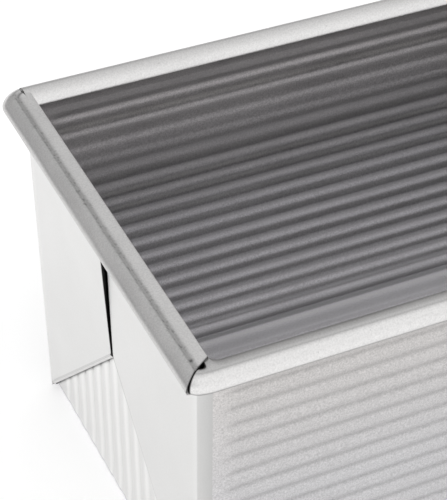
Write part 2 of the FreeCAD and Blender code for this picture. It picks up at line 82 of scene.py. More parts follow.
# Places worked out from the sizes.
ROLL_OUT = ROLL_IN + SHEET
TRAY = FLOOR_ROUND + TRAY_RISE
SIDE_LEAN = math.atan2(SIDE_RUN, HEIGHT)
END_LEAN = math.atan2(END_RUN, HEIGHT)
AXIS_Z = HEIGHT - ROLL_OUT
FOOT_Y = WIDTH_IN / 2 - SIDE_RUN
FOOT_X = LENGTH_IN / 2 - END_RUN
EAR_OUT = 3 * SHEET + 2 * LAYER_GAP
SIDE_WIRE = SHEET + ROLL_IN
END_WIRE = EAR_OUT + ROLL_IN
SIDE_TOP = (AXIS_Z + SIDE_WIRE * math.sin(SIDE_LEAN)) / math.cos(SIDE_LEAN)
END_TOP = (AXIS_Z + END_WIRE * math.sin(END_LEAN)) / math.cos(END_LEAN)
WIRE_Y = FOOT_Y + SIDE_TOP * math.sin(SIDE_LEAN) + SIDE_WIRE * math.cos(SIDE_LEAN)
WIRE_X = FOOT_X + END_TOP * math.sin(END_LEAN) + END_WIRE * math.cos(END_LEAN)
STRIP_UNDER = END_TOP + ROLL_OUT - STRIP_DROP - SHEET
COVER_UNDER = HEIGHT + COVER_PLAY
COVER_LEFT = -(WIRE_X + ROLL_OUT) + COVER_DRAWN
COVER_RIGHT = WIRE_X + ROLL_OUT + COVER_PLAY + COVER_DRAWN
FLOOR_COUNT = 2 * math.floor((FOOT_Y - FLOOR_ROUND - RIB_WIDTH / 2) / FLOOR_PITCH)
FLOOR_REACH = FLOOR_COUNT * FLOOR_PITCH / 2
EAR_FOOT = FOOT_Y + SHEET - CORNER
EAR_LOW = TRAY + SEAM
EAR_HIGH = STRIP_UNDER - SEAM
FOLD_START = EAR_FOOT + EAR_LOW * SIDE_RUN / HEIGHT
HEM = SHEET + LAYER_GAP / 2


def ease(value, low, high):
    """A smooth step from 0 at low to 1 at high."""
    part = np.clip((value - low) / (high - low), 0, 1)
    return part * part * (3 - 2 * part)


def climb(value, steps):
    """The sum of smooth steps, each given by its height, start and end."""
    return sum(height * ease(value, low, high) for height, low, high in steps)


def peak(value, centre, width):
    """A smooth peak, 1 at its centre and nearly 0 from two widths away."""
    return np.exp(-((value - centre) / width) ** 2)


def ridge(phase, power):
    """One rib per unit of phase, 1 on its crest at whole numbers and 0 between."""
    return (0.5 + 0.5 * np.cos(2 * np.pi * phase)) ** power


def floor_phase(across):
    """Phase of the ribs of the floor, the ends and the cover, which lie evenly about the middle."""
    return across / FLOOR_PITCH - 0.5


def graded(half, fine, reach, middle):
    """Positions from -half to half, fine near both ends and coarse between."""
    ends = np.linspace(0, reach, fine)
    inner = np.linspace(-(half - reach), half - reach, middle)[1:-1]
    return np.concatenate([-half + ends, inner, half - ends[::-1]])


def side_point(sign, x, n, s):
    """A point of a long wall: n is outward from its inner face and s is up its slope."""
    y = FOOT_Y + s * math.sin(SIDE_LEAN) + n * math.cos(SIDE_LEAN)
    z = s * math.cos(SIDE_LEAN) - n * math.sin(SIDE_LEAN)
    return np.stack(np.broadcast_arrays(x, sign * y, z), -1)


def end_point(sign, u, n, s):
    """A point of an end: n is outward from its inner face and s is up its slope."""
    x = FOOT_X + s * math.sin(END_LEAN) + n * math.cos(END_LEAN)
    z = s * math.cos(END_LEAN) - n * math.sin(END_LEAN)
    return np.stack(np.broadcast_arrays(sign * x, u, z), -1)


def fold_line(s):
    """How far from the middle of an end the slanting fold of an ear lies."""
    return FOLD_START + (EAR_GAP / 2 - FOLD_START) * (s - EAR_LOW) / (FOLD_HEIGHT - EAR_LOW)


# Points closer than SAME_POINT metres are one point, and edges sharper than SHARP degrees stay sharp.
SAME_POINT = 2e-6
SHARP = 40
RIM_SHARP = 50


def finish_mesh(name, verts, faces, shade, angle):
    """A mesh object with outward faces, smooth except at its sharp edges, and a shade at each point."""
    mesh = bpy.data.meshes.new(name)
    mesh.from_pydata([tuple(point) for point in np.asarray(verts) * MM], [], faces)
    layer = mesh.attributes.new("shade", "FLOAT", "POINT")
    layer.data.foreach_set("value", shade)
    work = bmesh.new()
    work.from_mesh(mesh)
    bmesh.ops.remove_doubles(work, verts=work.verts, dist=SAME_POINT)
    bmesh.ops.recalc_face_normals(work, faces=work.faces)
    work.to_mesh(mesh)
    work.free()
    mesh.polygons.foreach_set("use_smooth", [True] * len(mesh.polygons))
    mesh.set_sharp_from_angle(angle=math.radians(angle))
    piece = bpy.data.objects.new(name, mesh)
    bpy.context.scene.collection.objects.link(piece)
    return piece


def grid_faces(rows, columns, start):
    """Quads of a grid of points."""
    faces = []
    for row in range(rows - 1):
        for column in range(columns - 1):
            first = start + row * columns + column
            faces.append((first, first + 1, first + columns + 1, first + columns))
    return faces


def shell_parts(inner, outer, start):
    """Points and faces of a closed sheet between two grids of the same size."""
    rows, columns = inner.shape[:2]
    count = rows * columns
    verts = np.concatenate([inner.reshape(-1, 3), outer.reshape(-1, 3)])
    faces = grid_faces(rows, columns, start) + grid_faces(rows, columns, start + count)
    border = list(range(columns))
    border += [row * columns + columns - 1 for row in range(1, rows)]
    border += [(rows - 1) * columns + column for column in range(columns - 2, -1, -1)]
    border += [row * columns for row in range(rows - 2, 0, -1)]
    for index, here in enumerate(border):
        there = border[(index + 1) % len(border)]
        faces.append((start + here, start + there, start + count + there, start + count + here))
    return verts, faces


def shell(name, *sheets, angle=SHARP):
    """One object made of closed sheets, each given by its two grids and the shades of both."""
    verts = []
    faces = []
    shades = []
    start = 0
    for inner, outer, inner_shade, outer_shade in sheets:
        points, quads = shell_parts(inner, outer, start)
        verts.append(points)
        faces += quads
        for grid, shade in ((inner, inner_shade), (outer, outer_shade)):
            shades.append(np.broadcast_to(shade, grid.shape[:2]).ravel())
        start += len(points)
    return finish_mesh(name, np.concatenate(verts), faces, np.concatenate(shades), angle)


def unevenness(points, scale, strength):
    """Slight waviness of hand-size sheet, fixed in space."""
    flat = points.reshape(-1, 3)
    values = [noise.noise(Vector(point) * scale) for point in flat]
    return strength * np.array(values).reshape(points.shape[:-1])


# Long walls: where the ribs die out, measured from the upright corners, the floor bend and the rim.
CORNER_SPAN = (0.5, 7.0)
FOOT_FADE = 2.5
RIM_SPAN = (0.8, 4.0)
# The height of a crest, and the share of a rib's height that its groove has outside.
WALL_PHASE = 6.6
OUTER_RIB = 0.8
# The ribs inside, by height: a calm band, and above it half a step of shift and softer ribs.
CALM_AT = 71.5
CALM_WIDTH = 8
CALM_DEPTH = 0.9
SHIFT = 0.5
SHIFT_SPAN = (68, 73)
SOFTER = 0.25
SOFTER_SPAN = (70, 78)
# The swell of the long rims, which the top of the walls runs into.
ROLL_SWELL = 1.5
FLARE_FROM = 7
FLARE_TO = 0.3
# Painted light and shade inside, by height: painted shade on the crests that weakens upward, painted shade
# that deepens towards the rim, and painted highlights as bright lines near the rim.
INSIDE_SHADE = 1.06
CREST_PAINTED_SHADE = 0.45
CREST_POWER = 0.75
CREST_LOSS = ((0.85, 62, 74),)
PAINTED_DARK_STEPS = ((0.14, 40, 56), (0.03, 62, 76), (0.22, 78, 90))
GLINT_STEPS = ((0.25, 68, 76), (0.2, 80, 85))
GLINT_PHASE = 0.24
GLINT_POWER = 2
GLINT_TOP = 88
GLINT_FADE = 2
# Painted shade outside: a little darker away from the corners, with a thin painted dark line along each
# groove.
OUTSIDE_SHADE = 0.92
OUTSIDE_PAINTED_SHADE = 0.06
GROOVE_PAINTED_SHADE = 0.18
LINE_POWER = 6


def long_wall(name, sign):
    """A ribbed long wall whose ribs die out towards the corners, the floor bend and the rim."""
    s = np.linspace(TRAY - LAP, SIDE_TOP + LAP, 420)
    half = FOOT_X + EAR_OUT - CORNER + s * END_RUN / HEIGHT
    across = graded(1.0, fine=16, reach=0.06, middle=30)
    x = across[None, :] * half[:, None]
    rise = np.repeat(s[:, None], len(across), 1)
    ends = ease(half[:, None] - np.abs(x), *CORNER_SPAN)
    fade = ends * ease(rise, TRAY, TRAY + FOOT_FADE) * ease(SIDE_TOP - rise, *RIM_SPAN)
    phase = (rise - WALL_PHASE) / WALL_PITCH
    groove = -RIB_HEIGHT * ridge(phase, RIB_POWER) * fade
    calm = (1 - CALM_DEPTH * peak(rise, CALM_AT, CALM_WIDTH)) * (1 - SOFTER * ease(rise, *SOFTER_SPAN))
    rib = -RIB_HEIGHT * calm * ridge(phase + SHIFT * ease(rise, *SHIFT_SPAN), RIB_POWER) * fade
    flare = ROLL_SWELL * ease(rise, SIDE_TOP - FLARE_FROM, SIDE_TOP - FLARE_TO)
    # Painted shade on the crests and towards the rim, and painted highlights as bright lines near the rim.
    crest = CREST_PAINTED_SHADE * ridge(phase, CREST_POWER) * ends * (1 - climb(rise, CREST_LOSS))
    painted_glint = climb(rise, GLINT_STEPS) * ridge(phase - GLINT_PHASE, GLINT_POWER)
    painted_glint = painted_glint * ease(GLINT_TOP - rise, 0, GLINT_FADE)
    inside = INSIDE_SHADE - crest - climb(rise, PAINTED_DARK_STEPS) + painted_glint * ends
    # Painted shade: darker away from the corners, and a thin dark line in each groove.
    outside = OUTSIDE_SHADE - OUTSIDE_PAINTED_SHADE * ends - GROOVE_PAINTED_SHADE * ridge(phase, LINE_POWER) * fade
    inner = side_point(sign, x, rib - flare, rise)
    outer = side_point(sign, x, OUTER_RIB * groove + SHEET, rise)
    return shell(name, (inner, outer, inside, outside))


# Ends: where the ribs die out below the rim and grow above the floor bend, the fine rows, and the shades:
# the inside's level, painted highlights along one flank of each rib, and painted shadow where the ears
# cover the tongue.
TONGUE_INSET = CORNER / 3
TONGUE_FINE = FOLD_HEIGHT + 2
TONGUE_SPAN = (0.5, 3.5)
TONGUE_FOOT = 7
TONGUE_INSIDE = 0.85
STRIPE_SHADE = 1.03
STRIPE_PAINTED_HIGHLIGHT = 0.15
STRIPE_OFF = 1.3
COVERED_SPAN = (-0.7, 0.3)
COVERED_PAINTED_SHADOW = 0.95


def end_wall(name, sign):
    """The ribbed tongue of an end, with painted highlights along one flank of its ribs and painted shadow
    where the ears cover it.
    """
    lower = np.linspace(TRAY - LAP, TONGUE_FINE, 100)
    upper = np.linspace(TONGUE_FINE, END_TOP, 20)
    s = np.concatenate([lower, upper[1:]])
    side = FOOT_Y + s * SIDE_RUN / HEIGHT - TONGUE_INSET
    across = np.linspace(-1, 1, 360)
    u = across[None, :] * side[:, None]
    rise = np.repeat(s[:, None], len(across), 1)
    fade = ease(FLOOR_REACH - np.abs(u), *RIB_EDGE_SPAN) * ease(END_TOP - rise, *TONGUE_SPAN)
    relief = fade * (FOOT_RIB + (1 - FOOT_RIB) * ease(rise, TRAY, TRAY + TONGUE_FOOT))
    n = -RIB_HEIGHT * ridge(floor_phase(u), RIB_POWER) * relief
    # Painted shadow where the ears cover the tongue, and painted highlights along one flank of each rib.
    covered = ease(np.abs(u) - fold_line(rise), *COVERED_SPAN)
    painted_stripes = STRIPE_SHADE + STRIPE_PAINTED_HIGHLIGHT * ridge(floor_phase(u - STRIPE_OFF), LINE_POWER) * fade
    outside = painted_stripes * (1 - COVERED_PAINTED_SHADOW * covered)
    inner = end_point(sign, u, n, rise)
    outer = end_point(sign, u, n + SHEET, rise)
    return shell(name, (inner, outer, TONGUE_INSIDE, outside))


# Floor: how far from the ends its ribs flatten, and the shades: painted highlights along one flank of its
# ribs, painted shade along its long edges and in its bends, and the underside's level.
FLOOR_FLATTEN = 8
FLOOR_SHADE = 0.93
FLOOR_PAINTED_HIGHLIGHT = 0.32
FLOOR_LIGHT_POWER = 1.5
FLOOR_UNDER = 0.95
FLOOR_EDGE_PAINTED_SHADE = 0.36
FLOOR_EDGE_FROM = 1.6
FLOOR_EDGE_TO = 0.8
FLOOR_BEND_PAINTED_SHADE = 0.2
BEND_SPAN = (0.1, 0.6)


def floor_sheet(name):
    """The floor with its edge bent up all round; its ribs run on into the bends at the ends."""
    flat_x = FOOT_X + TRAY * END_RUN / HEIGHT + SHEET - FLOOR_ROUND
    flat_y = FOOT_Y + TRAY * SIDE_RUN / HEIGHT + SHEET - FLOOR_ROUND
    arc = FLOOR_ROUND * math.pi / 2
    tails = np.concatenate([np.linspace(0, arc, 9)[1:], [arc + TRAY - FLOOR_ROUND]])
    a = np.concatenate([-(flat_x + tails[::-1]), np.linspace(-flat_x, flat_x, 60), flat_x + tails])
    b = np.concatenate([-(flat_y + tails[::-1]), np.linspace(-flat_y, flat_y, 340), flat_y + tails])
    grid_a, grid_b = np.meshgrid(a, b, indexing="ij")
    over_a = np.clip(np.abs(grid_a) - flat_x, 0, None)
    over_b = np.clip(np.abs(grid_b) - flat_y, 0, None)
    over = np.maximum(np.hypot(over_a, over_b), NEAR_ZERO)
    straight = np.maximum(over_a, over_b)
    lean = np.clip(straight, 0, arc) / FLOOR_ROUND
    extra = np.clip(straight - arc, 0, None)
    rib = RIB_HEIGHT * ridge(floor_phase(grid_b), RIB_POWER)
    rib = rib * ease(FLOOR_REACH - np.abs(grid_b), *RIB_EDGE_SPAN)
    rib = rib * (1 - (1 - FOOT_RIB) * ease(np.abs(grid_a), flat_x - FLOOR_FLATTEN, flat_x))

    def surface(radius):
        out = radius * np.sin(lean)
        bowed = out - rib * np.sin(lean)
        x = np.sign(grid_a) * (np.minimum(np.abs(grid_a), flat_x) + bowed * over_a / over)
        y = np.sign(grid_b) * (np.minimum(np.abs(grid_b), flat_y) + out * over_b / over)
        z = FLOOR_ROUND - radius * np.cos(lean) + extra + rib * np.cos(lean)
        return np.stack([x, y, z], -1)

    # Painted highlights along one flank of each rib, and painted shade along the long edges and in the
    # bends.
    bands = FLOOR_SHADE + FLOOR_PAINTED_HIGHLIGHT * ridge(floor_phase(np.abs(grid_b) - STRIPE_OFF), FLOOR_LIGHT_POWER)
    edge = FLOOR_EDGE_PAINTED_SHADE * ease(np.abs(grid_b), flat_y - FLOOR_EDGE_FROM, flat_y - FLOOR_EDGE_TO)
    border = 1 - edge - FLOOR_BEND_PAINTED_SHADE * ease(straight, *BEND_SPAN)
    return shell(name, (surface(FLOOR_ROUND - SHEET), surface(FLOOR_ROUND), bands * border, FLOOR_UNDER))


# Ears: how the outer layer stands off, most from the height STAND_AT up, and how it waves.
# The spans run across the layer or down from the rim.
STAND_AT = 84
STAND_SPAN = (2.0, 9.0)
FREE_SPAN = (0.25, 1.0)
WAVE_SCALE = 0.03
WAVE = 0.12
WAVE_FROM_BEND = (0, 0.2)
WAVE_SPAN = (3.0, 12.0)
FREE_EDGE = 0.4
BEND_TOP = 0.3
BACK_INSET = 0.3
# Painted light and shade on the ears: painted shade on the bend with a painted highlight line beside it,
# painted shadow on the free edge, the hidden layers and the hem's inside, and on the hem a thin painted
# dark line and painted shade on its side towards the tongue.
BEND_SHADE = 0.69
BEND_LIGHT = 0.14
BEND_LINE = 0.05
BEND_LINE_WIDTH = 1.2
HIDDEN_PAINTED_SHADOW = 0.03
FOLD_EDGE_SHADE = 0.66
HEM_INSIDE = 0.2
HEM_LINE = 0.28
HEM_LINE_AT = 0.25
HEM_LINE_WIDTH = 0.16
HEM_DARK = 0.72
HEM_SPAN = (1.0, 1.9)


def ear_layers(end, side, lift):
    """The bend from the long wall with the outer layer of an ear, and the inner layer behind it.

    lift is how far the outer layer's free edge stands off below the rim.
    """
    lower = np.linspace(EAR_LOW, FOLD_HEIGHT, 46)
    upper = np.linspace(FOLD_HEIGHT, EAR_HIGH, 40)
    s = np.concatenate([lower, upper[1:]])
    corner_u = EAR_FOOT + s * SIDE_RUN / HEIGHT
    slant = math.hypot(FOLD_START - EAR_GAP / 2, FOLD_HEIGHT - EAR_LOW) / (FOLD_HEIGHT - EAR_LOW)
    edge_u = np.minimum(np.maximum(fold_line(s) + HEM * slant, EAR_GAP / 2), corner_u)
    part = np.linspace(0, 1, 36)
    rise = np.repeat(s[:, None], len(part), 1)
    u = corner_u[:, None] + (edge_u - corner_u)[:, None] * part[None, :]
    u[:, -2] = np.minimum(u[:, -1] + FREE_EDGE, corner_u)
    near_edge = ease(1 - u / corner_u[:, None], *FREE_SPAN)
    opening = np.clip((rise - FOLD_HEIGHT) / (STAND_AT - FOLD_HEIGHT), 0, 1)
    stand = lift * opening * ease(EAR_HIGH - rise, *STAND_SPAN) * near_edge
    flat = end_point(end, side * u, EAR_OUT, rise)
    wavy = unevenness(flat, WAVE_SCALE, WAVE)
    wavy = wavy * ease(part, *WAVE_FROM_BEND)[None, :] * ease(EAR_HIGH - rise, *WAVE_SPAN)
    out = EAR_OUT + stand + wavy
    turn = np.linspace(0, math.pi / 2, 12)[:0:-1]

    def bent(radius):
        across = corner_u[:, None] + radius * np.sin(turn)[None, :]
        deep = EAR_OUT - CORNER + radius * np.cos(turn)[None, :]
        top = np.minimum(rise[:, :1], END_TOP + BEND_TOP)
        return end_point(end, side * across, deep, top)

    outer = np.concatenate([bent(CORNER), end_point(end, side * u, out, rise)], 1)
    inner = np.concatenate([bent(CORNER - SHEET), end_point(end, side * u, out - SHEET, rise)], 1)
    # Painted shade on the bend, lighter towards the ear, with a painted highlight line where the bend
    # meets the ear.
    bend_shade = BEND_SHADE + BEND_LIGHT * (1 - turn / (math.pi / 2))
    rounding = np.concatenate([bend_shade, np.ones(len(part))])
    line = BEND_LINE * peak(np.arange(len(rounding)), len(turn), BEND_LINE_WIDTH)
    face = np.repeat((rounding + line)[None, :], len(s), 0)
    # Painted shadow on the free edge: nearly black above the fold and grey below it.
    face[:, -1] = np.where(s > FOLD_HEIGHT, HIDDEN_PAINTED_SHADOW, FOLD_EDGE_SHADE)
    back_out = EAR_OUT - SHEET - LAYER_GAP
    back_u = np.minimum(u, corner_u[:, None] - BACK_INSET)
    back = end_point(end, side * back_u, back_out, rise)
    behind = end_point(end, side * back_u, back_out - SHEET, rise)
    return (inner, outer, HIDDEN_PAINTED_SHADOW, face), (back, behind, HIDDEN_PAINTED_SHADOW, HIDDEN_PAINTED_SHADOW)


def ear_hem(end, side):
    """The rounded hem on the slanting fold of an ear."""
    line_s = EAR_LOW + (FOLD_HEIGHT - EAR_LOW) * np.linspace(0, 1, 40)
    line_u = fold_line(line_s)
    normal = np.array([FOLD_HEIGHT - EAR_LOW, FOLD_START - EAR_GAP / 2])
    normal = normal / np.hypot(*normal)
    bulge = np.linspace(0, math.pi, 31)

    def surface(radius):
        inset = HEM - radius * np.sin(bulge)[None, :]
        deep = EAR_OUT - HEM + radius * np.cos(bulge)[None, :]
        across = np.maximum(line_u[:, None] + normal[0] * inset, EAR_GAP / 2)
        return end_point(end, side * across, deep, line_s[:, None] + normal[1] * inset)

    # A thin painted dark line along the hem, and painted shade on its side towards the tongue.
    line = HEM_LINE * peak(bulge, HEM_LINE_AT, HEM_LINE_WIDTH)
    shade = 1 - line - HEM_DARK * ease(bulge, *HEM_SPAN)
    return surface(LAYER_GAP / 2), surface(HEM), HEM_INSIDE, shade[None, :]


def ear(name, end, side, lift):
    """A folded corner: the bend, the outer layer, the inner layer and the hem that joins them."""
    return shell(name, *ear_layers(end, side, lift), ear_hem(end, side))


# Long rims: the splits' angles from the ends, and the roll's form beside a mitre, with spans by angle.
MITRE = math.radians(33.5)
SQUARE = math.radians(84)
ROLL_START = math.radians(-50)
MITRE_FLARE = 0.7
MITRE_FLARE_SPAN = (0.15, 0.9)
MITRE_FILLET = 2.6
FILLET_SPAN = (0.0, 0.3)
SWELL_SPAN = (0.0, 0.1)
# Shades of the long rims, by angle round the roll: a darker inside, painted shadow at the split ends,
# painted shade along the lower edge and on the back rim's outer side, and a rubbed line along the top of
# the front rim.
ROLL_INSIDE = 0.3
SPLIT_SHADE = 0.08
LOWER_PAINTED_SHADE = 0.5
LOWER_SPAN = (math.radians(192), math.radians(212))
BACK_PAINTED_SHADE = 0.3
BACK_SPAN = (math.radians(108), math.radians(128))
RUB_DULL = 0.26
RUB_AT = math.radians(98)
RUB_WIDTH = math.radians(6)


def long_rim(name, sign, left_split, right_split):
    """A rolled long rim, carried round its corners to the splits."""
    arc = np.linspace(ROLL_START, ROLL_END, 64)
    straight = WIRE_X - TURN
    gap = RIM_SPLIT / 2 / TURN
    left_turn = np.linspace(math.pi / 2 - left_split - gap, 0, 18)
    right_turn = np.linspace(0, math.pi / 2 - right_split - gap, 18)
    path = [(-straight, -angle) for angle in left_turn]
    path += [(x, 0.0) for x in graded(straight, fine=20, reach=5.0, middle=28)[1:-1]]
    path += [(straight, angle) for angle in right_turn]
    inner_x = WIRE_X - END_WIRE
    inner_side = np.clip(np.cos(arc), 0, 1) * (arc < math.pi)

    def fillet(x, angle):
        """How far the roll's inner side comes in where it meets the end at a mitre."""
        split = left_split if x < 0 else right_split
        if split != MITRE:
            return 0.0
        part = np.clip(1 - (inner_x - abs(x)) / MITRE_FILLET, 0, 1)
        depth = MITRE_FILLET * (1 - math.sqrt(1 - part ** 2))
        return depth * (1 - ease(abs(angle), *FILLET_SPAN))

    def swept(radius):
        rows = []
        for x, angle in path:
            flare = MITRE_FLARE * ease(abs(angle), *MITRE_FLARE_SPAN)
            swell = ROLL_SWELL * inner_side ** 2 * (1 - ease(abs(angle), *SWELL_SPAN))
            reach = TURN - radius * np.cos(arc) + flare - fillet(x, angle) * inner_side - swell
            rows.append(np.stack([x + reach * math.sin(angle),
                                  sign * (WIRE_Y - TURN + reach * math.cos(angle)),
                                  AXIS_Z + radius * np.sin(arc)], -1))
        return np.array(rows)

    # Painted shade along the lower edge and on the back rim's outer side; the front rim has a rubbed line
    # along its top.
    painted_shade_and_rub = 1 - LOWER_PAINTED_SHADE * ease(arc, *LOWER_SPAN)
    if sign > 0:
        painted_shade_and_rub = painted_shade_and_rub * (1 - BACK_PAINTED_SHADE * ease(arc, *BACK_SPAN))
    else:
        painted_shade_and_rub = painted_shade_and_rub * (1 - RUB_DULL * peak(arc, RUB_AT, RUB_WIDTH))
    shade = np.repeat(painted_shade_and_rub[None, :], len(path), 0)
    # Painted shadow at the split ends.
    shade[[0, -1], :] = SPLIT_SHADE
    return shell(name, (swept(ROLL_IN), swept(ROLL_OUT), ROLL_INSIDE, shade))


# End rims: the flat strip with its rounded lip and soft crease, and the slanted roll.
LIP_DROP = 0.35
LIP_ROUND = 0.4
STRIP_FROM = 0.7
CREASE = 0.3
CREASE_AT = 4.0
CREASE_WIDTH = 0.4
ROLL_BOW = 1.45
ROLL_OVER = 0.3


def end_section():
    """Outline of an end rim as rows of n, s: inner face, flat, soft crease and the slanted roll."""
    crown = END_TOP + ROLL_OUT
    lip = crown - LIP_DROP
    centre = lip - LIP_ROUND
    points = [(0.0, END_TOP - LIP_ROUND), (0.0, END_TOP + LIP_ROUND), (0.0, centre)]
    for angle in np.linspace(0.2, math.pi / 2, 5):
        points.append((LIP_ROUND - LIP_ROUND * math.cos(angle), centre + LIP_ROUND * math.sin(angle)))
    for n in np.linspace(STRIP_FROM, END_WIRE, 18)[:-1]:
        points.append((n, lip + (crown - lip) * n / END_WIRE - CREASE * peak(n, CREASE_AT, CREASE_WIDTH)))
    for angle in np.linspace(math.pi / 2, ROLL_END, 56):
        across = abs(math.cos(angle)) ** ROLL_BOW + abs(math.sin(angle)) ** ROLL_BOW
        reach = ROLL_OUT * across ** (-1 / ROLL_BOW)
        wide = (reach + ROLL_OVER) if angle < 1.5 * math.pi else reach
        points.append((END_WIRE - wide * math.cos(angle), END_TOP + reach * math.sin(angle)))
    return np.array(points)


# End rims at the corners: the thickness shown, the straight part of the strip and the slant of a mitre.
RIM_SHEET = 0.7 * SHEET
TURN_FROM = 0.2
STRIP_RUN = 1.5
MITRE_BACK = 1.13
STRIP_SLANT = 0.7
ROLL_SLANT = 0.78
# Dents of the end rims, by length along the rim and by step round the section.
DENT = 0.10
DENT_LONG = 0.12
DENT_ROUND = 0.05
DENT_SPAN = (4, 10)
# Crease, marks and splits: painted shade along the crease with patches of dirt on it, one mark with a
# scratch near a corner of each end, and painted shadow at the splits.
CREASE_DARK_WIDTH = 0.8
CREASE_DARK_ABOVE = 1
CREASE_PAINTED_SHADE = 0.36
GRIME_PATCH = 0.30
PATCH_SCALE = 1.9
PATCH_SPAN = (0.20, 0.45)
FAR_OFF = 9.0
MARK_ALONG = -49.2
MARK_ACROSS = 3.9
MARK_LONG = 0.6
MARK_WIDE = 0.55
MARK_DARK = 0.9
SCRATCH_ALONG = -46.8
SCRATCH_LONG = 2.2
SCRATCH_WIDE = 0.2
SCRATCH_SLANT = 0.12
SCRATCH_DARK = 0.55
SCRATCH_SPAN = (-0.3, 0.2)
SPLIT_DARK = 0.92
SPLIT_DARK_BELOW = 0.2
# Painted shade along the outer edge of the roll, and painted light on the flat strip.
EDGE_PAINTED_SHADE = 0.22
EDGE_SPAN = (6.6, 7.3)
EDGE_BELOW = 1
STRIP_LIGHT = 0.07
STRIP_SPAN = (0.3, 1.2)


def end_rim_grids(sign, front_split, back_split, section):
    """The inner and outer grids of an end rim, whose roll goes on round both corners to the splits."""
    step = np.gradient(section, axis=0)
    inward = np.stack([step[:, 1], -step[:, 0]], -1)
    inward = inward / np.linalg.norm(inward, axis=1)[:, None]
    stop = WIRE_Y - TURN
    gap = RIM_SPLIT / 2 / TURN

    def turned(points, side, angle):
        """The section turned about the corner's centre, with the inner flat left straight."""
        reach = points[:, 0] - END_WIRE + TURN
        turning = reach > TURN_FROM
        out = np.where(turning, reach * math.cos(angle), reach)
        along = np.where(turning, reach * math.sin(angle), STRIP_RUN * angle)
        return end_point(sign, side * (stop + along), out + END_WIRE - TURN, points[:, 1])

    def straight(points, row):
        """The section at a row of the rim; towards a mitre the rows spread to end on its slant."""
        n = points[:, 0]
        split = front_split if row < 0 else back_split
        half = np.full(len(n), stop)
        if split == MITRE:
            half = stop - MITRE_BACK + STRIP_SLANT * np.minimum(n, CREASE_AT)
            half = half + ROLL_SLANT * np.maximum(n - CREASE_AT, 0)
        return end_point(sign, row / stop * half, n, points[:, 1])

    def corner(points, side, split):
        """Lines of the section round a corner to its split; a mitre needs none."""
        turns = [] if split == MITRE else np.linspace(0, split - gap, 20)[1:]
        return [turned(points, side, angle) for angle in turns]

    def grid(points):
        lines = corner(points, -1, front_split)[::-1]
        lines += [straight(points, row) for row in np.linspace(-stop, stop, 250)]
        lines += corner(points, 1, back_split)
        return np.array(lines)

    return grid(section + inward * RIM_SHEET), grid(section)


def end_rim(name, sign, front_split, back_split):
    """An end rim with small dents, painted shade and patches of dirt in its crease, painted shadow at its
    splits, and a mark and scratch near one corner.
    """
    section = end_section()
    n = section[:, 0]
    s = section[:, 1]
    inner, outer = end_rim_grids(sign, front_split, back_split, section)
    dent = np.array([[noise.noise(Vector((point[1] * DENT_LONG, index * DENT_ROUND, sign)))
                      for index, point in enumerate(line)] for line in outer])
    outer[..., 2] += DENT * dent * ease(np.arange(len(section)), *DENT_SPAN)[None, :]
    spots = np.array([[noise.noise(Vector(point) * PATCH_SCALE) for point in line] for line in outer])
    # Painted shade along the crease, with patches of dirt.
    crease = peak(n, CREASE_AT, CREASE_DARK_WIDTH) * (s > END_TOP + CREASE_DARK_ABOVE)
    dirt_and_painted_shade = crease[None, :] * (CREASE_PAINTED_SHADE + GRIME_PATCH * ease(spots, *PATCH_SPAN))
    along = -sign * outer[..., 1]
    away = np.where(s > END_TOP, n - MARK_ACROSS, FAR_OFF)[None, :]
    mark = peak(along, MARK_ALONG, MARK_LONG) * peak(away, 0, MARK_WIDE)
    drift = SCRATCH_SLANT * (along - MARK_ALONG)
    scratch = peak(along, SCRATCH_ALONG, SCRATCH_LONG) * peak(away, drift, SCRATCH_WIDE)
    dirt_and_painted_shade = np.maximum(dirt_and_painted_shade, MARK_DARK * mark)
    dirt_and_painted_shade = np.maximum(dirt_and_painted_shade, SCRATCH_DARK * scratch * ease(spots, *SCRATCH_SPAN))
    # Painted shadow at the splits.
    dirt_and_painted_shade[[0, -1], :] = np.where(s > END_TOP, SPLIT_DARK, SPLIT_DARK_BELOW)[None, :]
    # Painted shade along the roll's outer edge, and painted light on the flat strip.
    edge = EDGE_PAINTED_SHADE * ease(n, *EDGE_SPAN) * (s > END_TOP - EDGE_BELOW)
    strip = 1 + STRIP_LIGHT * ease(CREASE_AT - n, *STRIP_SPAN)
    shade = (1 - dirt_and_painted_shade) * (strip * (1 - edge))[None, :]
    return shell(name, (inner, outer, ROLL_INSIDE, shade), angle=RIM_SHARP)


# Cover: the curl's angles, where its ribs die out at the ends, and the turned-down lip.
CURL_FROM = math.radians(285)
CURL_TO = math.radians(90)
COVER_SPAN = (3.0, 11.0)
LIP_TURN = 0.05
LIP_LAP = 0.7
LIP_STRAIGHT = 1.0
LIP_CORNER = 2.5
LIP_CORNER_RISE = 3.0


